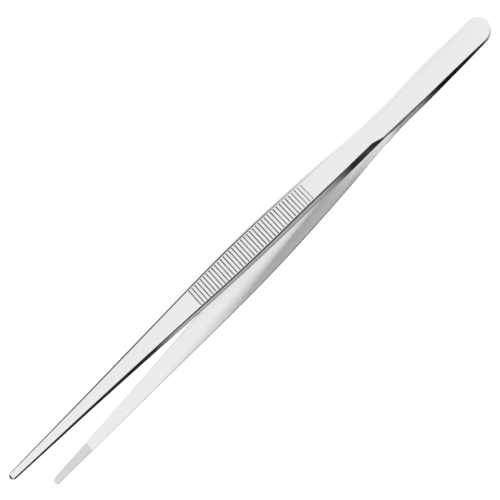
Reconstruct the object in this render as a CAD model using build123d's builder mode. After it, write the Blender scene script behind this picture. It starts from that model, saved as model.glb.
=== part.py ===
from build123d import *
import os
from math import atan2, degrees

# Long straight cooking tweezers, lying on their side as they do on a worktop.
# X runs from the heel to the tips, Y from the right arm to the left arm, Z is up.
# The origin is under the middle of the length, on the surface that the tweezers lie on.
# All sizes are in millimetres.

# Whole object
length = 300.0
tip_gap = 44.6

# Spring leaf, the thin rear end of each arm
heel_width = 12.5
waist_width = 11.4
leaf_thickness = 1.4
weld_length = 11.0
flex_distance = 45.0
shoulder_distance = 70.0
shoulder_run = 5.5

# Jaw, the thick front of each arm from the shoulder to the tip
grip_width = 14.7
shoulder_thickness = 2.6
side_inset = 1.7
edge_bevel = 0.46
tip_round = 2.0

# Ribbed grip on the outer face, whose grooves end short of the bevelled edges
rib_start = 111.75
rib_pitch = 1.84
rib_groove_count = 39
rib_groove_width = 0.62
rib_groove_depth = 0.36
rib_end_land = 0.45

# Cross-cut gripping patch on the inner face behind the tip
patch_length = 25.0
patch_pitch = 0.8
patch_end_land = 0.9
patch_cut_width = 0.5
patch_cut_depth = 0.22

# Weld nuggets between the two leaves
nugget_radius = 1.75
nugget_depth = 0.6
nugget_distances = (4.5, 8.75)

# How far a helper shape runs past the metal that it trims
overrun = 0.5

heel_x = -length / 2
middle_height = grip_width / 2
half_tip_gap = tip_gap / 2
shoulder_end = shoulder_distance + shoulder_run
jaw_length = length - shoulder_end

# Half gap between the arms at the flex line and at the shoulder, of the half gap at the tips
flex_gap_share = 0.067
shoulder_gap_share = 0.141

# Places on the leaf, from the shoulder back to the weld, where its outer face follows its
# inner face (of the leaf's length)
leaf_shares = (1.0, 0.8, 0.6, 0.4, 0.2, 0.0)

# One row for each station along the jaw: distance from the end of the shoulder (of the jaw
# length), half gap (of the half gap at the tips), thickness (of the shoulder's), width of
# the inner face (of the grip's), inset of the flat outer face on each side (of the
# shoulder's) and bevel of each outer edge (of the widest bevel).
jaw_shares = (
    (0.000, 0.176, 1.000, 0.800, 1.00, 0.26),
    (0.087, 0.292, 0.940, 0.905, 0.94, 0.96),
    (0.176, 0.405, 0.900, 0.966, 0.87, 0.87),
    (0.287, 0.516, 0.885, 1.000, 0.78, 0.76),
    (0.376, 0.594, 0.885, 0.968, 0.74, 0.74),
    (0.474, 0.668, 0.865, 0.872, 0.72, 0.70),
    (0.621, 0.769, 0.680, 0.695, 0.70, 0.52),
    (0.777, 0.870, 0.510, 0.503, 0.61, 0.43),
    (0.911, 0.950, 0.420, 0.352, 0.47, 0.39),
    (1.000, 1.000, 0.350, 0.272, 0.35, 0.28),
)


class JawStation:
    """Place and sizes of the left jaw at one station along its length."""

    def __init__(self, along, gap, thick, wide, inset, bevel):
        self.x = heel_x + shoulder_end + along * jaw_length
        self.thickness = thick * shoulder_thickness
        self.inner_y = gap * half_tip_gap
        self.outer_y = self.inner_y + self.thickness
        self.inner_half = wide * grip_width / 2
        self.flat_half = self.inner_half - inset * side_inset
        self.bevel = bevel * edge_bevel

    def section(self):
        """Outline across the jaw: sloped sides, then a bevel up to the flat outer face."""
        slope = (self.inner_half - self.flat_half - self.bevel) / self.thickness
        bevel_slope = 1 + slope
        return cross_section(
            self.x,
            (self.inner_y - overrun, self.inner_half + overrun * slope),
            (self.outer_y - self.bevel, self.flat_half + self.bevel * bevel_slope),
            (self.outer_y + overrun, self.flat_half - overrun * bevel_slope),
        )

    def rib_field(self):
        """Outline across the jaw that holds the rib grooves."""
        half = self.flat_half - rib_end_land
        return cross_section(self.x, (self.inner_y, half), (self.outer_y + overrun, half))


def cross_section(x, *corners):
    """Face across the arm at x through corners given as y and height over the middle, inner first."""
    with BuildSketch(Plane.YZ.offset(x)) as section:
        with BuildLine():
            upper = [(y, middle_height + half) for y, half in corners]
            lower = [(y, middle_height - half) for y, half in reversed(corners)]
            Polyline(upper + lower, close=True)
        make_face()
    return section.sketch


def over_leaf(edge, share):
    """The point of the leaf's outer face over a place on its inner edge, counted from the weld."""
    distance = share * (shoulder_distance - weld_length)
    point = edge.position_at(distance, position_mode=PositionMode.LENGTH)
    return (point.X, point.Y + leaf_thickness)


def places_along(edge, first, pitch, count):
    """Evenly spaced places on an edge of the side profile, each turned along the edge."""
    places = []
    for i in range(count):
        distance = first + i * pitch
        point = edge.position_at(distance, position_mode=PositionMode.LENGTH)
        heading = edge.tangent_at(distance, position_mode=PositionMode.LENGTH)
        turn = degrees(atan2(heading.Y, heading.X))
        places.append(Location((point.X, point.Y, 0), (0, 0, turn)))
    return places


jaw = [JawStation(*shares) for shares in jaw_shares]
weld_end = (heel_x + weld_length, 0)
flex_point = (heel_x + flex_distance, flex_gap_share * half_tip_gap)
shoulder_point = (heel_x + shoulder_distance, shoulder_gap_share * half_tip_gap)
shoulder_section = cross_section(
    shoulder_point[0],
    (shoulder_point[1] - overrun, waist_width / 2),
    (shoulder_point[1] + leaf_thickness / 2, waist_width / 2),
    (shoulder_point[1] + leaf_thickness + overrun, waist_width / 2),
)

# Envelope of the left arm, as wide as the arm is at each place.
# The leaf has a round heel and narrows to the waist. The sloped sides start at the shoulder.
with BuildPart() as left_envelope:
    with BuildSketch(Plane.XZ) as leaf_outline:
        with BuildLine():
            heel_top = (heel_x + heel_width / 2, middle_height + heel_width / 2)
            heel_bottom = (heel_top[0], middle_height - heel_width / 2)
            waist_top = (shoulder_point[0], middle_height + waist_width / 2)
            waist_bottom = (shoulder_point[0], middle_height - waist_width / 2)
            ThreePointArc(heel_bottom, (heel_x, middle_height), heel_top)
            Spline(heel_top, waist_top, tangents=((1, 0), (1, 0)))
            Line(waist_top, waist_bottom)
            Spline(waist_bottom, heel_bottom, tangents=((-1, 0), (-1, 0)))
        make_face()
    extrude(amount=half_tip_gap, both=True)
    loft([shoulder_section, jaw[0].section()], ruled=True)
    loft([station.section() for station in jaw])
    with BuildSketch(Plane.XZ) as beyond_round_tip:
        with BuildLine():
            round_top = (jaw[-1].x - tip_round, middle_height + tip_round)
            round_bottom = (round_top[0], middle_height - tip_round)
            ThreePointArc(round_bottom, (jaw[-1].x, middle_height), round_top)
            Polyline(
                round_top,
                (round_top[0], middle_height + grip_width),
                (jaw[-1].x + grip_width, middle_height + grip_width),
                (jaw[-1].x + grip_width, middle_height - grip_width),
                (round_top[0], middle_height - grip_width),
                round_bottom,
            )
        make_face()
    extrude(amount=tip_gap, both=True, mode=Mode.SUBTRACT)

# The left arm as one bowed strip from heel to tip, thin at the heel and thick in the jaw.
# The cross cuts of the gripping patch are notched right across its inner face.
with BuildPart() as left_strip:
    with BuildSketch(Plane.XY.offset(-overrun)) as side_profile:
        with BuildLine():
            inner_points = [weld_end, flex_point, shoulder_point]
            inner_points += [(station.x, station.inner_y) for station in jaw]
            outer_points = [(station.x, station.outer_y) for station in jaw]
            heel_corner = (heel_x, leaf_thickness)
            Line((heel_x, 0), weld_end)
            inner_edge = Spline(inner_points)
            leaf_points = [over_leaf(inner_edge, share) for share in leaf_shares]
            Line(inner_points[-1], outer_points[-1])
            outer_edge = Spline(outer_points)
            Line(outer_points[0], leaf_points[0])
            Spline(leaf_points)
            Line(leaf_points[-1], heel_corner)
            Line(heel_corner, (heel_x, 0))
        make_face()
        patch_cut_count = int((patch_length - patch_end_land) / patch_pitch)
        first_cut = inner_edge.length - patch_length
        with Locations(places_along(inner_edge, first_cut, patch_pitch, patch_cut_count)):
            Polygon(
                (-patch_cut_width, -patch_cut_depth),
                (patch_cut_width, -patch_cut_depth),
                (0, patch_cut_depth),
                align=None,
                mode=Mode.SUBTRACT,
            )
    extrude(amount=grip_width + 2 * overrun)
    add(left_envelope.part, mode=Mode.INTERSECT)

# Rib grooves across the flat outer face, which end short of its bevelled edges
with BuildPart() as rib_grooves:
    with BuildSketch(Plane.XY):
        first_rib = rib_start - shoulder_end
        with Locations(places_along(outer_edge, first_rib, rib_pitch, rib_groove_count)):
            Polygon(
                (-rib_groove_width, rib_groove_depth),
                (0, -rib_groove_depth),
                (rib_groove_width, rib_groove_depth),
                align=None,
            )
    extrude(amount=grip_width)
    loft([station.rib_field() for station in jaw], mode=Mode.INTERSECT)

with BuildPart() as ribbed_strip:
    add(left_strip.part)
    add(rib_grooves.part, mode=Mode.SUBTRACT)

# The strip bends at the flex line. What lies behind it stays with the heel.
flex_plane = Plane.YZ.offset(flex_point[0])

with BuildPart() as left_arm:
    add(ribbed_strip.part)
    split(bisect_by=flex_plane, keep=Keep.TOP)

with BuildPart() as left_spring_leaf:
    add(ribbed_strip.part)
    split(bisect_by=flex_plane, keep=Keep.BOTTOM)
    with BuildSketch(Plane.XZ):
        with Locations([(heel_x + distance, middle_height) for distance in nugget_distances]):
            Circle(nugget_radius)
    extrude(amount=-nugget_depth, mode=Mode.SUBTRACT)

with BuildPart() as right_arm:
    add(left_arm.part)
    mirror(about=Plane.XZ, mode=Mode.REPLACE)

with BuildPart() as right_spring_leaf:
    add(left_spring_leaf.part)
    mirror(about=Plane.XZ, mode=Mode.REPLACE)

# Two resistance welds hold the leaves together at the heel, half of each in each leaf.
with BuildPart() as weld_nuggets:
    with BuildSketch(Plane.XZ):
        with Locations([(heel_x + distance, middle_height) for distance in nugget_distances]):
            Circle(nugget_radius)
    extrude(amount=nugget_depth, both=True)

pieces = {
    "left_arm": left_arm,
    "right_arm": right_arm,
    "left_spring_leaf": left_spring_leaf,
    "right_spring_leaf": right_spring_leaf,
    "weld_nuggets": weld_nuggets,
}

os.makedirs("parts", exist_ok=True)
for name, piece in pieces.items():
    piece.part.label = name
    export_step(piece.part, f"parts/{name}.step")
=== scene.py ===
from math import cos, pi, radians, sin, sqrt

import bmesh
import bpy
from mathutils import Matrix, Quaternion, Vector


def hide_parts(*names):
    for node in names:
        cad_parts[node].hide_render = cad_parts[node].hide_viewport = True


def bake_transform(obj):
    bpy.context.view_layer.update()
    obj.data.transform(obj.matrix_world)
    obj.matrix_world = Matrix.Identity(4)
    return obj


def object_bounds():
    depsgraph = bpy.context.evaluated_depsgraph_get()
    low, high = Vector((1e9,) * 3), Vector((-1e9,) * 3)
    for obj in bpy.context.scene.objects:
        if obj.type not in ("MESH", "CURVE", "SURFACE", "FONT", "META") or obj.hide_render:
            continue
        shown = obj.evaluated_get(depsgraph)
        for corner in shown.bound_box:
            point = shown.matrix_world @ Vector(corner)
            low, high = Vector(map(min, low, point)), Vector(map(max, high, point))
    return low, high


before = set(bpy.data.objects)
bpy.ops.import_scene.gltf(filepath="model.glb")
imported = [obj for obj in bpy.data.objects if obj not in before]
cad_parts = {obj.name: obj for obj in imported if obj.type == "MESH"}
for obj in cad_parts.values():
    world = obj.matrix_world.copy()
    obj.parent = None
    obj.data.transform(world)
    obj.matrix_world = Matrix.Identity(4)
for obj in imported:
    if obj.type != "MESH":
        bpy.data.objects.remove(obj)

cad_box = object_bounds()

# Long straight cooking tweezers in sprung stainless steel, lying on their side.
# X runs from the heel to the tips, Y from the right arm to the left arm, Z is up.
# Blender works in metres. The sizes of the metal below are in millimetres.
MM = 0.001

HEEL_X = cad_box[0].x
LENGTH = (cad_box[1].x - cad_box[0].x) / MM
MIDDLE_Z = (cad_box[0].z + cad_box[1].z) / 2

# The two leaves touch as far as the weld reaches, and then part.
# One row for each station: distance from the heel, half the gap between the arms.
HALF_GAP = (
    (11.0, 0.0),
    (16.0, 0.42),
    (25.0, 0.92),
    (35.0, 1.25),
    (45.0, 1.49),
    (60.0, 2.18),
    (70.0, 3.14),
    (75.5, 3.92),
    (95.0, 6.51),
    (115.0, 9.03),
    (139.9, 11.51),
    (159.9, 13.25),
    (181.9, 14.90),
    (214.9, 17.15),
    (249.9, 19.40),
    (280.0, 21.19),
    (300.0, 22.30),
)

# Spring leaf: its thickness, and rows of distance from the heel and half width, and of
# distance and how far its sides lean in. It meets the jaw over a short shoulder.
LEAF_THICKNESS = 1.4
LEAF_HALF_WIDTH = ((6.25, 6.25), (70.0, 5.70))
LEAF_INSET = ((44.0, 0.22), (54.0, 0.42), (70.0, 0.42))
SHOULDER_START = 70.0
SHOULDER_END = 75.5

# The heel is a half circle below, and is ground a little slimmer above.
HEEL_RADIUS = 6.25
CIRCLE_POWER = 2
UPPER_HEEL_RUN = 6.65
UPPER_HEEL_POWER = 1.75

# Jaw. One row for each station: distance from the heel, thickness, half width of the
# inner face, inset of the flat outer face on each side, and how far the rounding of the
# outer edge reaches past that flat.
JAW = (
    (75.5, 2.60, 5.88, 1.56, 0.12),
    (88.0, 2.49, 6.42, 1.78, 0.12),
    (98.0, 2.42, 6.74, 1.92, 0.42),
    (115.0, 2.34, 7.06, 1.96, 0.50),
    (139.9, 2.30, 7.34, 1.74, 0.50),
    (159.9, 2.30, 7.11, 1.53, 0.46),
    (181.9, 2.25, 6.41, 1.47, 0.44),
    (214.9, 1.77, 5.11, 1.34, 0.26),
    (249.9, 1.33, 3.74, 1.02, 0.15),
    (280.0, 1.09, 2.74, 0.72, 0.14),
    (300.0, 0.91, 2.00, 0.55, 0.28),
)

# The round tip comes to a slight point.
TIP_HALF_WIDTH = 2.2
TIP_RUN = 2.5
TIP_POWER = 1.7

# Rounded edges: of the leaf, of the inner face of the jaw, and what the lower outer edge
# has more than the upper one. Rows of distance from the heel and size.
LEAF_ROUNDING = 0.22
INNER_ROUNDING = ((98.0, 0.03), (110.0, 0.28), (120.0, 0.4), (250.0, 0.3), (290.0, 0.12))
LOWER_EXTRA_ROUNDING = (
    (100.0, 0.0),
    (150.0, 0.2),
    (220.0, 0.2),
    (260.0, 0.32),
    (285.0, 0.3),
    (297.0, 0.2),
)

# Over its reach the rim of the tip widens the roundings of the outer edges, the lower one by
# a share less. The outer face is painted dark at the very tip, a painted dark reflection.
TIP_RIM_ROUNDING = 0.95
TIP_RIM_REACH = 3.7
TIP_RIM_DARK_REFLECTION = 1.2
LOWER_RIM_SHARE = 0.25

# No outer rounding takes more than this share of the half width that it is cut from.
WIDEST_ROUNDING = 0.48
ROUNDING_STEPS = 5

# A rounding's own points lie nearer to the old corner than this share of its reach. Of its
# two end points, the one on the arm's side is out of level with the corner.
ON_ROUNDING_SHARE = 0.97
LEVEL = 0.01

# Ribbed grip: grooves across the outer face that end short of its edges, with rows of a
# groove's number and depth, as the first ones are shallower.
RIB_START = 111.66
RIB_PITCH = 1.8263
RIB_COUNT = 39
RIB_HALF_WIDTH = 0.30
RIB_DEPTH = ((0, 0.18), (1, 0.27), (12, 0.34))
RIB_EDGE_LAND = 0.45
RIB_UPPER_LAND = 0.12
RIB_END_RUN = 0.25

# Where an arm is narrow, no land or inner rounding is wider than this share of its half
# width. From its middle to the other share, the inner face takes its edges' painted light and
# shade.
LAND_SHARE = 1 / 3
INNER_LAND_SHARE = 0.9

# Cross-cut gripping patch on the inner face behind the tip.
PATCH_START = 275.03
PATCH_PITCH = 0.798
PATCH_COUNT = 29
PATCH_HALF_WIDTH = 0.26
PATCH_DEPTH = 0.12
PATCH_FIRST_DEPTH = 0.22

# How strongly the rounded edges and the sloped sides are painted dark, a painted dark
# reflection of the surroundings. Rows of distance from the heel and share.
UPPER_EDGE_DARK_REFLECTION = (
    (0.0, 0.0),
    (3.0, 0.1),
    (10.0, 1.0),
    (80.0, 0.9),
    (120.0, 0.9),
    (175.0, 1.0),
)
LOWER_EDGE_DARK_REFLECTION = ((78.0, 0.0), (100.0, 0.1), (120.0, 0.45), (150.0, 0.9), (175.0, 1.0))
LOWER_SIDE_DARK_REFLECTION = ((192.0, 0.0), (212.0, 1.0))
UPPER_SIDE_DARK_REFLECTION = (
    (0.0, 0.0),
    (4.0, 0.2),
    (10.0, 1.0),
    (38.0, 1.0),
    (46.0, 0.8),
    (54.0, 0.3),
    (60.0, 0.0),
    (69.0, 0.0),
    (70.0, 0.85),
    (80.0, 0.95),
    (89.0, 1.0),
    (95.0, 0.8),
    (101.0, 0.4),
    (109.0, 0.1),
    (112.0, 0.0),
    (190.0, 0.0),
    (200.0, 0.3),
    (207.0, 0.8),
    (212.0, 1.0),
    (300.0, 1.0),
)
# Painted dark reflection on the inner edges, and on the side next to them.
INNER_EDGE_DARK_REFLECTION = 1.0
INNER_SIDE_DARK_REFLECTION = 0.2

# How much of the inner face behind the shoulder is pale and matte: painted light that
# brightens the narrow gap between the leaves. Rows of distance from the heel and share.
GAP_LIGHT = ((38.0, 0.0), (45.0, 0.2), (50.0, 0.6), (55.0, 0.9), (60.0, 0.6), (68.0, 0.0))

# How much brighter the inner face is painted than the outer one, or darker where the value is
# less than nil: painted light and painted shade for the reflections between the arms. Rows of
# distance from the heel, middle of the face and its edges.
INSIDE_LIGHT_AND_SHADE = (
    (36.0, 0.0, 0.0),
    (42.0, 0.12, 0.12),
    (47.5, 0.30, 0.30),
    (53.0, 0.38, 0.38),
    (63.0, 0.43, 0.43),
    (76.0, 0.32, 0.38),
    (85.0, 0.15, 0.36),
    (98.0, -0.03, 0.05),
    (108.0, -0.05, -0.11),
    (120.0, -0.01, -0.16),
    (135.0, 0.03, -0.18),
    (163.0, 0.0, -0.13),
    (200.0, 0.0, 0.0),
)

# Where the plain stretches of an arm have sections: distances from the heel, the turns of
# the round heel in degrees, and distances from the tip. The shoulder turns over a short run.
HEEL_RIM_STATIONS = (0.004, 0.03, 0.08, 0.15)
HEEL_TURNS = range(18, 91, 9)
LEAF_STATIONS = (8.5, 10.2, 11, 12, 13.5, 15, 17, 20, 24, 28, 32, 36, 40, 45, 50, 55, 60, 65)
SHOULDER_TURN = 0.4
JAW_STATIONS = (79, 84, 89, 95, 101, 107, *range(187, 275, 6))
TIP_STATIONS = (TIP_RUN, 2.1, 1.7, 1.4, 1.22, 1.15, 1.0)
TIP_RIM_STATIONS = (0.82, 0.62, 0.46, 0.32, 0.2, 0.1, 0.04, 0.004)

# Depths of the groove and the cut of a section that has neither.
FLAT = (0.0, 0.0)

# Material slots of an arm. A face whose normal leans along the arm by more than the limit is
# a groove's flank, and one that leans inwards by more than it may be the patch.
BRIGHT, GROOVE, PATCH = range(3)
LEAN_LIMIT = 0.3

# Edges that turn by more than this stay sharp.
SHARP_ANGLE = radians(36)


def along(rows, distance):
    """The values at a distance along the arm, on a smooth curve through the rows."""
    last = len(rows) - 1
    if distance <= rows[0][0]:
        return rows[0][1:]
    if distance >= rows[last][0]:
        return rows[last][1:]
    i = max(k for k in range(last) if rows[k][0] <= distance)

    def slope(k, value):
        before, after = rows[max(k - 1, 0)], rows[min(k + 1, last)]
        return (after[value] - before[value]) / (after[0] - before[0])

    here, ahead = rows[i], rows[i + 1]
    run = ahead[0] - here[0]
    t = (distance - here[0]) / run
    values = []
    for value in range(1, len(here)):
        values.append(
            (2 * t**3 - 3 * t**2 + 1) * here[value]
            + (t**3 - 2 * t**2 + t) * run * slope(i, value)
            + (3 * t**2 - 2 * t**3) * ahead[value]
            + (t**3 - t**2) * run * slope(i + 1, value)
        )
    return values


def sizes_at(distance):
    """Thickness, half width, inset and rounding of the arm at a distance from the heel."""
    half_width, inset = along(LEAF_HALF_WIDTH, distance)[0], along(LEAF_INSET, distance)[0]
    leaf = (LEAF_THICKNESS, half_width, inset, LEAF_ROUNDING)
    if distance <= SHOULDER_START:
        return leaf
    if distance >= SHOULDER_END:
        return along(JAW, distance)
    share = (distance - SHOULDER_START) / (SHOULDER_END - SHOULDER_START)
    return [(1 - share) * a + share * b for a, b in zip(leaf, along(JAW, SHOULDER_END))]


def round_end(from_end, half_width, run, power):
    """Half width of a round end at a distance from its very end, or no limit past its run."""
    if from_end >= run:
        return LENGTH
    return half_width * (1 - (1 - from_end / run)**power)**(1 / power)


def rim_drop(from_end, rounding):
    """How far the rounding of the rim lowers a face at a distance from the end."""
    reach = max(rounding - from_end, 0.0)
    return rounding - sqrt(rounding**2 - reach**2)


class ArmMarks:
    """Values that each vertex of an arm carries for its materials."""

    def __init__(self, bm):
        # Shares of painted dark reflection, of painted light and shade on the inner face, and of
        # the pale painted light in the gap.
        self.dark_reflection = bm.verts.layers.float.new("painted_dark_reflection")
        self.light_and_shade = bm.verts.layers.float.new("inside_light_and_shade")
        self.gap_light = bm.verts.layers.float.new("gap_light")
        self.rest_place = bm.verts.layers.float_vector.new("rest_place")
        self.seams = set()


def round_corner(bm, marks, corner, reach, on_edge, on_side):
    """Round a corner of a section, and mark its rounding and side for painted dark reflection."""
    place = corner.co.copy()
    rounded = bmesh.ops.bevel(
        bm,
        geom=[corner],
        offset=reach * MM,
        offset_type="OFFSET",
        segments=ROUNDING_STEPS,
        profile=0.5,
        affect="VERTICES",
        material=-1,
    )
    for vert in rounded["verts"]:
        if (vert.co - place).length < ON_ROUNDING_SHARE * reach * MM:
            vert[marks.dark_reflection] = on_edge
            continue
        marks.seams.add(vert)
        if abs(vert.co.y - place.y) > LEVEL * MM:
            vert[marks.dark_reflection] = on_side
    return rounded["verts"]


def section(bm, marks, side, distance, groove, cut):
    """A face across the arm with rounded corners. Returns the face.

    groove is how deep the outer face is notched here, and cut how deep the inner face is.
    """
    thickness, half_width, inset, rounding = sizes_at(distance)
    inner = along(HALF_GAP, distance)[0]
    outer = inner + thickness
    from_heel, from_tip = distance, LENGTH - distance
    heel_end = round_end(from_heel, HEEL_RADIUS, HEEL_RADIUS, CIRCLE_POWER)
    tip_end = round_end(from_tip, TIP_HALF_WIDTH, TIP_RUN, TIP_POWER)
    end_width = min(heel_end, tip_end)
    inner_drop = rim_drop(min(from_heel, from_tip), LEAF_ROUNDING)
    outer_drop = max(rim_drop(from_heel, LEAF_ROUNDING), rim_drop(from_tip, TIP_RIM_ROUNDING))
    inner_half = min(half_width, end_width)
    tip_rim = max(TIP_RIM_ROUNDING * (1 - from_tip / TIP_RIM_REACH), 0.0)
    rounding = max(rounding, tip_rim)
    corner_half = min(half_width - inset + rounding, end_width)
    rounding = min(rounding, corner_half * WIDEST_ROUNDING)
    lower_rounding = rounding + along(LOWER_EXTRA_ROUNDING, distance)[0]
    lower_rounding = min(lower_rounding, corner_half * WIDEST_ROUNDING)
    lower_rounding -= LOWER_RIM_SHARE * tip_rim
    upper_end = round_end(from_heel, HEEL_RADIUS, UPPER_HEEL_RUN, UPPER_HEEL_POWER)
    upper_inner, upper_corner = min(inner_half, upper_end), min(corner_half, upper_end)
    rounding = min(rounding, upper_corner * WIDEST_ROUNDING)
    flat_half = corner_half - rounding
    upper_flat = upper_corner - rounding
    land_half = flat_half - min(RIB_EDGE_LAND, flat_half * LAND_SHARE)
    floor_half = land_half - min(RIB_END_RUN, land_half * LAND_SHARE)
    upper_land = upper_flat - min(RIB_UPPER_LAND, upper_flat * LAND_SHARE)
    upper_floor = upper_land - min(RIB_END_RUN, upper_land * LAND_SHARE)
    inner += cut + inner_drop
    outer -= outer_drop

    x = HEEL_X + distance * MM

    def point(y, z):
        return bm.verts.new((x, side * y * MM, MIDDLE_Z + z * MM))

    outline = [
        point(outer, -land_half),
        point(outer - groove, -floor_half),
        point(outer - groove, upper_floor),
        point(outer, upper_land),
        point(outer, upper_corner),
        point(inner, upper_inner),
        point(inner, upper_inner * INNER_LAND_SHARE),
        point(inner, 0),
        point(inner, -inner_half * INNER_LAND_SHARE),
        point(inner, -inner_half),
        point(outer, -corner_half),
    ]
    bm.faces.new(outline)
    inner_rounding = min(along(INNER_ROUNDING, distance)[0], upper_inner * LAND_SHARE)
    finish_section(bm, marks, outline, distance, rounding, lower_rounding, inner_rounding)
    return outline[0].link_faces[0]


def finish_section(bm, marks, outline, distance, upper, lower, inner):
    """Round the four corners of a section, and mark where it gets painted light and shade.

    upper and lower are the roundings of the outer corners, and inner of both inner ones.
    """
    # Painted light and painted shade on the inner face, and the pale painted light in the gap.
    middle_light_and_shade, edge_light_and_shade = along(INSIDE_LIGHT_AND_SHADE, distance)
    gap_light = along(GAP_LIGHT, distance)[0]
    for vert, light_and_shade in zip(outline[6:9], (edge_light_and_shade, middle_light_and_shade, edge_light_and_shade)):
        vert[marks.light_and_shade] = light_and_shade
        vert[marks.gap_light] = gap_light
    in_patch = distance > PATCH_START - PATCH_HALF_WIDTH
    # Shares of painted dark reflection on the edges and the sides next to them.
    inner_edge = 0.0 if in_patch or distance < SHOULDER_END else INNER_EDGE_DARK_REFLECTION
    upper_edge = along(UPPER_EDGE_DARK_REFLECTION, distance)[0]
    lower_edge = along(LOWER_EDGE_DARK_REFLECTION, distance)[0]
    upper_side = along(UPPER_SIDE_DARK_REFLECTION, distance)[0]
    lower_side = along(LOWER_SIDE_DARK_REFLECTION, distance)[0]
    inner_side = max(upper_side, INNER_SIDE_DARK_REFLECTION * inner_edge)
    outer_face = outline[:4]
    outer_face += round_corner(bm, marks, outline[4], upper, upper_edge, upper_side)
    outer_face += round_corner(bm, marks, outline[10], lower, lower_edge, lower_edge)
    inner_corners = round_corner(bm, marks, outline[5], inner, inner_edge, inner_side)
    inner_corners += round_corner(bm, marks, outline[9], inner, inner_edge, lower_side)
    for vert in inner_corners:
        vert[marks.light_and_shade] = edge_light_and_shade
    # The very tip of the outer face takes the full painted dark reflection.
    if LENGTH - distance < TIP_RIM_DARK_REFLECTION:
        for vert in outer_face:
            vert[marks.dark_reflection] = 1.0


def stations():
    """Distance, groove depth and cut depth of each section, from the heel to the tip."""
    plain = [*HEEL_RIM_STATIONS, *LEAF_STATIONS, *JAW_STATIONS]
    plain += [HEEL_RADIUS * (1 - cos(radians(turn))) for turn in HEEL_TURNS]
    for corner in (SHOULDER_START, SHOULDER_END):
        plain += [corner - SHOULDER_TURN, corner, corner + SHOULDER_TURN]
    plain.append((SHOULDER_START + SHOULDER_END) / 2)
    plain += [LENGTH - from_tip for from_tip in (*TIP_STATIONS, *TIP_RIM_STATIONS)]
    places = [(distance, *FLAT) for distance in plain]
    for i in range(RIB_COUNT):
        bottom = RIB_START + i * RIB_PITCH
        places += [
            (bottom - RIB_HALF_WIDTH, *FLAT),
            (bottom, along(RIB_DEPTH, i)[0], 0.0),
            (bottom + RIB_HALF_WIDTH, *FLAT),
        ]
    for i in range(PATCH_COUNT):
        bottom = PATCH_START + i * PATCH_PITCH
        places += [
            (bottom - PATCH_HALF_WIDTH, *FLAT),
            (bottom, 0.0, PATCH_DEPTH if i else PATCH_FIRST_DEPTH),
            (bottom + PATCH_HALF_WIDTH, *FLAT),
        ]
    return sorted(places)


def choose_finish(face, side):
    """The material slot of a face of an arm."""
    distance = (face.calc_center_median().x - HEEL_X) / MM
    outward = face.normal.y * side
    in_grip = SHOULDER_END < distance < PATCH_START - PATCH_HALF_WIDTH
    if outward > 0 and abs(face.normal.x) > LEAN_LIMIT and in_grip:
        return GROOVE
    if outward < -LEAN_LIMIT and distance > PATCH_START - PATCH_HALF_WIDTH:
        return PATCH
    return BRIGHT


def make_arm(name, side):
    """One arm from heel to tip, on the left for side 1 and on the right for side -1."""
    bm = bmesh.new()
    marks = ArmMarks(bm)
    sections = [section(bm, marks, side, *place) for place in stations()]
    for behind, ahead in zip(sections, sections[1:]):
        bmesh.ops.bridge_loops(bm, edges=list(behind.edges) + list(ahead.edges))
    bmesh.ops.delete(bm, geom=sections[1:-1], context="FACES_ONLY")
    bmesh.ops.recalc_face_normals(bm, faces=bm.faces)
    if bm.calc_volume(signed=True) < 0:
        bmesh.ops.reverse_faces(bm, faces=bm.faces)
    for face in bm.faces:
        face.smooth = True
        face.material_index = choose_finish(face, side)
    for edge in bm.edges:
        behind, ahead = edge.verts
        if behind in marks.seams and ahead in marks.seams and behind.co.x != ahead.co.x:
            edge.smooth = False
    for vert in bm.verts:
        vert[marks.rest_place] = vert.co / MM
    mesh = bpy.data.meshes.new(name)
    bm.to_mesh(mesh)
    bm.free()
    mesh.set_sharp_from_angle(angle=SHARP_ANGLE)
    arm = bpy.data.objects.new(name, mesh)
    bpy.context.scene.collection.objects.link(arm)
    return arm


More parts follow.
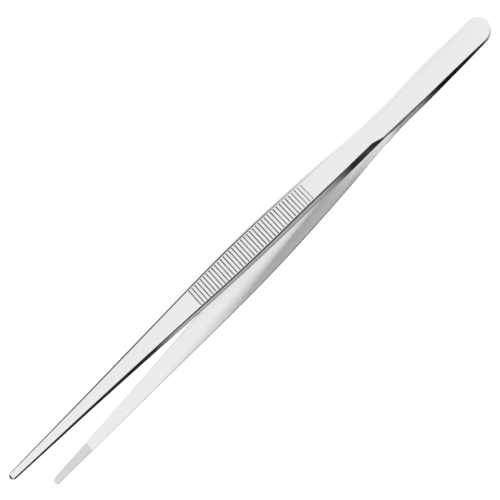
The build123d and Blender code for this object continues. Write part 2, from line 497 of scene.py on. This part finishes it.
class Nodes:
    """A node tree that is built by short calls. Its sockets can be given values or links."""

    def __init__(self, tree):
        self.tree = tree

    def feed(self, socket, source):
        """Join an output to an input, or set the input's own value."""
        if isinstance(source, bpy.types.NodeSocket):
            self.tree.links.new(source, socket)
        else:
            socket.default_value = source

    def add(self, kind, inputs=(), **settings):
        """A node with its settings, and its inputs given as pairs of socket and source."""
        node = self.tree.nodes.new(kind)
        for name, value in settings.items():
            setattr(node, name, value)
        for socket, source in inputs:
            self.feed(node.inputs[socket], source)
        return node

    def maths(self, operation, *sources):
        """The result of a sum or another operation on values."""
        return self.add("ShaderNodeMath", enumerate(sources), operation=operation).outputs[0]

    def place(self, vector, scale, turn=(0, 0, 0)):
        """A place that is turned and stretched, for a pattern to be laid on."""
        inputs = (("Vector", vector), ("Rotation", turn), ("Scale", scale))
        return self.add("ShaderNodeMapping", inputs).outputs[0]

    def noise(self, vector, scale, detail):
        """A soft random pattern. A larger scale makes it finer."""
        inputs = (("Vector", vector), ("Scale", scale), ("Detail", detail))
        return self.add("ShaderNodeTexNoise", inputs).outputs["Fac"]

    def spread(self, value, low, high, to_low=0.0, to_high=1.0):
        """A value between two limits, spread to two other limits."""
        inputs = (("Value", value), ("From Min", low), ("From Max", high))
        inputs += (("To Min", to_low), ("To Max", to_high))
        return self.add("ShaderNodeMapRange", inputs).outputs[0]

    def mix(self, share, first, second):
        """A colour between two colours, which this node takes in as inputs 6 and 7."""
        inputs = ((0, share), (6, first), (7, second))
        return self.add("ShaderNodeMix", inputs, data_type="RGBA").outputs[2]

    def bump(self, height, strength, depth):
        """The normals of a relief whose depth is given in millimetres."""
        inputs = (("Height", height), ("Strength", strength), ("Distance", depth * MM))
        return self.add("ShaderNodeBump", inputs).outputs[0]

    def attribute(self, name, output="Fac"):
        """A value that the vertices carry."""
        return self.add("ShaderNodeAttribute", attribute_name=name).outputs[output]

    def group(self, group, **inputs):
        """One of the shared effects, with its own values."""
        node = self.add("ShaderNodeGroup", node_tree=group)
        for name, source in inputs.items():
            self.feed(node.inputs[name.replace("_", " ")], source)
        return node.outputs


def new_effect(name, inputs, outputs):
    """An empty node group with named inputs and outputs."""
    group = bpy.data.node_groups.new(name, "ShaderNodeTree")
    for socket, kind in inputs:
        group.interface.new_socket(socket, in_out="INPUT", socket_type=kind)
    for socket, kind in outputs:
        group.interface.new_socket(socket, in_out="OUTPUT", socket_type=kind)
    nodes = Nodes(group)
    return group, nodes, nodes.add("NodeGroupInput").outputs, nodes.add("NodeGroupOutput").inputs


FLOAT, VECTOR = "NodeSocketFloat", "NodeSocketVector"

# A noise stays mostly between these values.
NOISE_RANGE = (0.3, 0.7)

# Scales of each pattern in X, Y and Z. A small one draws it out along the arm.
GRAIN_SCALE = (0.015, 1.0, 1.0)
WAVE_SCALE = (0.004, 0.12, 0.12)
SCRATCH_SCALE = (0.035, 0.2, 0.55)
CLOUD_SCALE = (0.5, 1, 1)

# Each set of scratches: its angle to the arm in degrees, and a shift that sets it apart.
# A scratch fades out between the two distances from its middle line.
SCRATCH_SETS = ((7, 0), (-16, 40), (31, 90))
SCRATCH_WIDTH = (0.035, 0.055)

# Handling marks show where their noise lies between these values or above.
CLOUD_RANGE = (0.42, 0.68)


def make_polishing_grain():
    """Fine lines that the polishing belt leaves along the arm, and the slow waves under them."""
    group, nodes, given, out = new_effect(
        "polishing_grain",
        (("Place", VECTOR), ("Lines per mm", FLOAT)),
        (("Lines", FLOAT), ("Waves", FLOAT)),
    )
    drawn_out = nodes.place(given["Place"], GRAIN_SCALE)
    lines = nodes.noise(drawn_out, scale=given["Lines per mm"], detail=3.0)
    waves = nodes.noise(nodes.place(given["Place"], WAVE_SCALE), scale=1.0, detail=1.0)
    nodes.feed(out["Lines"], nodes.spread(lines, *NOISE_RANGE))
    nodes.feed(out["Waves"], nodes.spread(waves, *NOISE_RANGE))
    return group


def make_hairline_scratches():
    """Short thin scratches of use, at three angles to the length of the arm."""
    group, nodes, given, out = new_effect(
        "hairline_scratches", (("Place", VECTOR), ("Amount", FLOAT)), (("Scratches", FLOAT),)
    )
    marks = []
    for degrees_off, shift in SCRATCH_SETS:
        turned = nodes.place(given["Place"], (1, 1, 1), (0, radians(degrees_off), 0))
        stretched = nodes.place(turned, SCRATCH_SCALE)
        shifted = nodes.add("ShaderNodeVectorMath", ((0, stretched), (1, (shift,) * 3)))
        cells = nodes.add("ShaderNodeTexVoronoi", (("Vector", shifted.outputs[0]),), feature="F1")
        distance = cells.outputs["Distance"]
        marks.append(nodes.spread(distance, *SCRATCH_WIDTH, to_low=1.0, to_high=0.0))
    either = nodes.maths("MAXIMUM", nodes.maths("MAXIMUM", marks[0], marks[1]), marks[2])
    nodes.feed(out["Scratches"], nodes.maths("MULTIPLY", either, given["Amount"]))
    return group


def make_handling_marks():
    """Soft cloudy marks where fingers and cloths have dulled the polish."""
    group, nodes, given, out = new_effect(
        "handling_marks", (("Place", VECTOR), ("Patch size", FLOAT)), (("Dulling", FLOAT),)
    )
    scale = nodes.maths("DIVIDE", 1.0, given["Patch size"])
    cloudy = nodes.noise(nodes.place(given["Place"], CLOUD_SCALE), scale, detail=4.0)
    nodes.feed(out["Dulling"], nodes.spread(cloudy, *CLOUD_RANGE))
    return group


polishing_grain = make_polishing_grain()
hairline_scratches = make_hairline_scratches()
handling_marks = make_handling_marks()

# Reflectance of the metal in each finish. The painted dark reflection on edges and sides,
# and the pale painted light in the narrow gap, also mirror less.
BRIGHT_STEEL = (0.673, 0.672, 0.672, 1)
SCRATCHED_STEEL = (0.62, 0.61, 0.615, 1)
# Painted dark reflection on rounded edges and sloped sides.
DARK_REFLECTION_STEEL = (0.03, 0.03, 0.031, 1)
DARK_REFLECTION_METAL = 0.08
# A pale matte finish: painted light in the narrow gap between the leaves.
GAP_LIGHT_STEEL = (0.8, 0.798, 0.798, 1)
GAP_LIGHT_METAL = 0.0
# Groove flanks are painted darker, painted shade in the grooves, and darker still in random
# patches.
GROOVE_SHADE_STEEL = (0.40, 0.395, 0.398, 1)
GROOVE_DARKER_PATCHES = (0.25, 0.245, 0.245, 1)
BLASTED_STEEL = (0.74, 0.74, 0.74, 1)
BLASTED_SHADE = (0.66, 0.66, 0.66, 1)
WELD_STEEL = (0.5, 0.5, 0.51, 1)
WELD_TINT = (0.42, 0.36, 0.3, 1)

# The least and the most roughness of each finish, and what handling marks, slow waves and
# scratches add to the bright one. Scratches also grey it, and lie deeper than its lines.
BRIGHT_ROUGHNESS = (0.085, 0.125)
GROOVE_ROUGHNESS = (0.28, 0.42)
PATCH_ROUGHNESS = (0.42, 0.54)
WELD_ROUGHNESS = (0.35, 0.55)
HANDLED_ROUGHNESS = 0.03
WAVE_ROUGHNESS = 0.015
SCRATCH_ROUGHNESS = 0.12
SCRATCH_SHARE = 0.35
SCRATCH_DEPTH = 1.2

# Cutter marks are drawn out along the grooves. The patch has bands along the arm, roughened
# by grit, and lighter where it is worn. The weld's straw tint sets in over a range of noise.
CUTTER_SCALE = (9.0, 9.0, 0.6)
BAND_SCALE = 0.63
PATCH_WEAR_SHARE = 0.4
GRIT_SHARE = 0.5
TINT_RANGE = (0.4, 0.65)


def new_material(name):
    """A new material, its nodes and the inputs of its surface."""
    material = bpy.data.materials.new(name)
    material.use_nodes = True
    nodes = Nodes(material.node_tree)
    return material, nodes, material.node_tree.nodes["Principled BSDF"].inputs


def make_satin_steel():
    """Bright steel with belt grain, scratches, handling marks, painted light and painted dark
    edges.
    """
    material, nodes, surface = new_material("satin_steel")
    place = nodes.attribute("rest_place", "Vector")
    grain = nodes.group(polishing_grain, Place=place, Lines_per_mm=7.0)
    scratches = nodes.group(hairline_scratches, Place=place, Amount=1.0)["Scratches"]
    dulling = nodes.group(handling_marks, Place=place, Patch_size=24.0)["Dulling"]

    # Painted light and painted shade on the inner face scale the steel's colour.
    light_and_shade = nodes.maths("ADD", nodes.attribute("inside_light_and_shade"), 1.0)
    steel = nodes.add(
        "ShaderNodeVectorMath", ((0, BRIGHT_STEEL[:3]), ("Scale", light_and_shade)), operation="SCALE"
    ).outputs[0]
    scratched = nodes.maths("MULTIPLY", scratches, SCRATCH_SHARE)
    steel = nodes.mix(scratched, steel, SCRATCHED_STEEL)
    # A pale matte patch brightens the narrow gap: painted light.
    gap_light = nodes.attribute("gap_light")
    steel = nodes.mix(gap_light, steel, GAP_LIGHT_STEEL)
    # Rounded edges and sloped sides are painted dark: a painted reflection.
    edge = nodes.attribute("painted_dark_reflection")
    nodes.feed(surface["Base Color"], nodes.mix(edge, steel, DARK_REFLECTION_STEEL))
    metal = nodes.maths("MULTIPLY_ADD", edge, DARK_REFLECTION_METAL - 1, 1.0)
    metal = nodes.maths("MULTIPLY_ADD", gap_light, GAP_LIGHT_METAL - 1, metal)
    nodes.feed(surface["Metallic"], metal)
    surface["Specular IOR Level"].default_value = 0.0

    roughness = nodes.spread(grain["Lines"], 0.0, 1.0, *BRIGHT_ROUGHNESS)
    roughness = nodes.maths("MULTIPLY_ADD", dulling, HANDLED_ROUGHNESS, roughness)
    roughness = nodes.maths("MULTIPLY_ADD", grain["Waves"], WAVE_ROUGHNESS, roughness)
    roughness = nodes.maths("MULTIPLY_ADD", scratches, SCRATCH_ROUGHNESS, roughness)
    nodes.feed(surface["Roughness"], roughness)

    relief = nodes.maths("MULTIPLY_ADD", scratches, -SCRATCH_DEPTH, grain["Lines"])
    nodes.feed(surface["Normal"], nodes.bump(relief, strength=0.12, depth=0.01))
    return material


def make_groove_steel():
    """Flanks of the rib grooves: duller, with cutter marks, painted shade and darker patches."""
    material, nodes, surface = new_material("groove_steel")
    place = nodes.attribute("rest_place", "Vector")
    cutter_marks = nodes.noise(nodes.place(place, CUTTER_SCALE), scale=1.0, detail=2.0)
    # Random patches of the groove flanks are painted darker still.
    darker_patches = nodes.group(handling_marks, Place=place, Patch_size=3.0)["Dulling"]
    nodes.feed(surface["Base Color"], nodes.mix(darker_patches, GROOVE_SHADE_STEEL, GROOVE_DARKER_PATCHES))
    roughness = nodes.spread(cutter_marks, *NOISE_RANGE, *GROOVE_ROUGHNESS)
    nodes.feed(surface["Roughness"], roughness)
    surface["Metallic"].default_value = 1.0
    nodes.feed(surface["Normal"], nodes.bump(cutter_marks, strength=0.3, depth=0.02))
    return material


def make_patch_steel():
    """Gripping patch: matte, with fine lines along the arm that cross the cut ones."""
    material, nodes, surface = new_material("patch_steel")
    place = nodes.attribute("rest_place", "Vector")
    lines = nodes.add(
        "ShaderNodeTexWave",
        (("Vector", place), ("Scale", BAND_SCALE), ("Distortion", 0.4), ("Detail", 1.0)),
        wave_type="BANDS",
        bands_direction="Z",
        wave_profile="TRI",
    ).outputs["Fac"]
    grit = nodes.noise(place, scale=5.0, detail=4.0)
    wear = nodes.group(handling_marks, Place=place, Patch_size=6.0)["Dulling"]
    shade = nodes.spread(grit, *NOISE_RANGE)
    shade = nodes.maths("MULTIPLY_ADD", wear, -PATCH_WEAR_SHARE, shade)
    nodes.feed(surface["Base Color"], nodes.mix(shade, BLASTED_STEEL, BLASTED_SHADE))
    nodes.feed(surface["Roughness"], nodes.spread(grit, *NOISE_RANGE, *PATCH_ROUGHNESS))
    surface["Metallic"].default_value = 1.0
    relief = nodes.maths("MULTIPLY_ADD", grit, GRIT_SHARE, lines)
    nodes.feed(surface["Normal"], nodes.bump(relief, strength=0.35, depth=0.04))
    return material


def make_weld_metal():
    """Fused metal of the resistance welds, with a faint straw tint of the heat."""
    material, nodes, surface = new_material("weld_metal")
    metres = nodes.add("ShaderNodeTexCoord").outputs["Object"]
    place = nodes.place(metres, (1 / MM,) * 3)
    heat = nodes.noise(place, scale=0.5, detail=2.0)
    ripple = nodes.noise(place, scale=2.5, detail=3.0)
    tinted = nodes.spread(heat, *TINT_RANGE)
    nodes.feed(surface["Base Color"], nodes.mix(tinted, WELD_STEEL, WELD_TINT))
    nodes.feed(surface["Roughness"], nodes.spread(ripple, *NOISE_RANGE, *WELD_ROUGHNESS))
    surface["Metallic"].default_value = 1.0
    nodes.feed(surface["Normal"], nodes.bump(ripple, strength=0.5, depth=0.1))
    return material


arm_finishes = {BRIGHT: make_satin_steel(), GROOVE: make_groove_steel(), PATCH: make_patch_steel()}

# Each arm is one bent strip, which flexes between the end of the weld and the shoulder.
for hand, side in (("left", 1), ("right", -1)):
    arm = make_arm(f"{hand}_tweezer_arm", side)
    for slot in sorted(arm_finishes):
        arm.data.materials.append(arm_finishes[slot])
    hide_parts(f"{hand}_arm", f"{hand}_spring_leaf")
    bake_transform(arm)

weld_metal = make_weld_metal()
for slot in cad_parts["weld_nuggets"].material_slots:
    slot.material = weld_metal

# The floor: its size in metres, its paint and its glow.
FLOOR_SIZE = 40.0
FLOOR_PAINT = (0.905, 0.885, 0.893, 1)
FLOOR_ROUGHNESS = 0.9
FLOOR_GLOW_TINT = (1.0, 0.985, 0.99, 1)
FLOOR_GLOW = 0.65


def make_floor():
    """A pale warm floor that glows a little, so that the tweezers leave no dark shadow on it."""
    mesh = bpy.data.meshes.new("floor")
    bm = bmesh.new()
    bmesh.ops.create_grid(bm, x_segments=1, y_segments=1, size=FLOOR_SIZE / 2)
    bm.to_mesh(mesh)
    bm.free()
    floor = bpy.data.objects.new("floor", mesh)
    bpy.context.scene.collection.objects.link(floor)
    material, _, surface = new_material("floor_paint")
    surface["Base Color"].default_value = FLOOR_PAINT
    surface["Roughness"].default_value = FLOOR_ROUGHNESS
    surface["Specular IOR Level"].default_value = 0
    surface["Emission Color"].default_value = FLOOR_GLOW_TINT
    surface["Emission Strength"].default_value = FLOOR_GLOW
    mesh.materials.append(material)


# The light from overhead, which leans towards the camera's side.
KEY_ENERGY = 1.2
KEY_SPREAD = radians(40)
KEY_TILT = radians(25)


def make_key_light():
    """A broad soft light from overhead, a little to the camera's side, that leaves no glare."""
    light = bpy.data.lights.new("key_light", "SUN")
    light.energy = KEY_ENERGY
    light.angle = KEY_SPREAD
    key = bpy.data.objects.new("key_light", light)
    key.rotation_euler = (KEY_TILT, 0, 0)
    key.visible_glossy = False
    bpy.context.scene.collection.objects.link(key)


# Brightness of the tent around the length of the tweezers: degrees from the camera's side
# over the top, and grey. Overhead are a dark card on the camera's side, a broad grey panel
# and a dark card on the left arm's side. All else is bright.
TENT = (
    (-180, 0.9),
    (-6, 0.9),
    (6, 0.03),
    (75, 0.03),
    (83, 0.62),
    (125, 0.62),
    (138, 0.08),
    (165, 0.08),
    (171, 0.9),
    (180, 0.9),
)

# The card on the left arm's side ends short of the heel, where the tent is bright again:
# the X of a direction at that end, how far the end is blurred to either side, and the
# angles between which the brightness sets in.
CARD_END = -0.06
CARD_FADE = 0.02
CARD_ANGLES = (radians(140), radians(150))
PAST_CARD = (0.9, 0.9, 0.9, 1)

# What the camera itself sees past the floor.
BACKDROP = (1, 1, 1, 1)


def make_light_tent():
    """The surroundings that the polished steel reflects, and a plain white backdrop."""
    world = bpy.data.worlds.new("light_tent")
    bpy.context.scene.world = world
    world.use_nodes = True
    nodes = Nodes(world.node_tree)
    direction = nodes.add("ShaderNodeTexCoord").outputs["Generated"]
    parts = nodes.add("ShaderNodeSeparateXYZ", ((0, direction),)).outputs
    angle = nodes.maths("ARCTAN2", parts["Z"], nodes.maths("MULTIPLY", parts["Y"], -1.0))
    ramp = nodes.add("ShaderNodeValToRGB", (("Fac", nodes.spread(angle, -pi, pi)),))
    elements = ramp.color_ramp.elements
    while len(elements) < len(TENT):
        elements.new(0.5)
    for element, (degrees, grey) in zip(elements, TENT):
        element.position = (degrees + 180) / 360
        element.color = (grey, grey, grey, 1)
    near, far = CARD_END - CARD_FADE, CARD_END + CARD_FADE
    past_end = nodes.spread(parts["X"], near, far, to_low=1.0, to_high=0.0)
    past_card = nodes.maths("MULTIPLY", past_end, nodes.spread(angle, *CARD_ANGLES))
    tent = nodes.mix(past_card, ramp.outputs["Color"], PAST_CARD)
    seen = nodes.add("ShaderNodeLightPath").outputs["Is Camera Ray"]
    colour = nodes.mix(seen, tent, BACKDROP)
    nodes.feed(world.node_tree.nodes["Background"].inputs["Color"], colour)


# The camera looks from the right arm's side and from above, rolled until the tweezers lie
# across the picture, with the heel at the upper right and the tips at the lower left. Its
# place is in metres, and the lens and the sensor are in millimetres.
AIM = Vector((-0.0002, -0.0001, 0.00336))
DISTANCE = 0.7006
AZIMUTH = radians(-6.63)
ELEVATION = radians(21.68)
ROLL = radians(137.10)
LENS = 109.15
SENSOR = 36
NEAR, FAR = 0.05, 100


def make_camera():
    """The camera, at its distance from the point that it looks at, with plain colours."""
    back = Vector((sin(AZIMUTH) * cos(ELEVATION), -cos(AZIMUTH) * cos(ELEVATION), sin(ELEVATION)))
    view = bpy.data.cameras.new("camera")
    view.lens = LENS
    view.sensor_width = SENSOR
    view.clip_start, view.clip_end = NEAR, FAR
    camera = bpy.data.objects.new("camera", view)
    camera.location = AIM + back * DISTANCE
    camera.rotation_mode = "QUATERNION"
    camera.rotation_quaternion = (-back).to_track_quat("-Z", "Y") @ Quaternion((0, 0, 1), ROLL)
    bpy.context.scene.collection.objects.link(camera)
    bpy.context.scene.camera = camera
    bpy.context.scene.view_settings.view_transform = "Standard"


make_floor()
make_key_light()
make_light_tent()
make_camera()
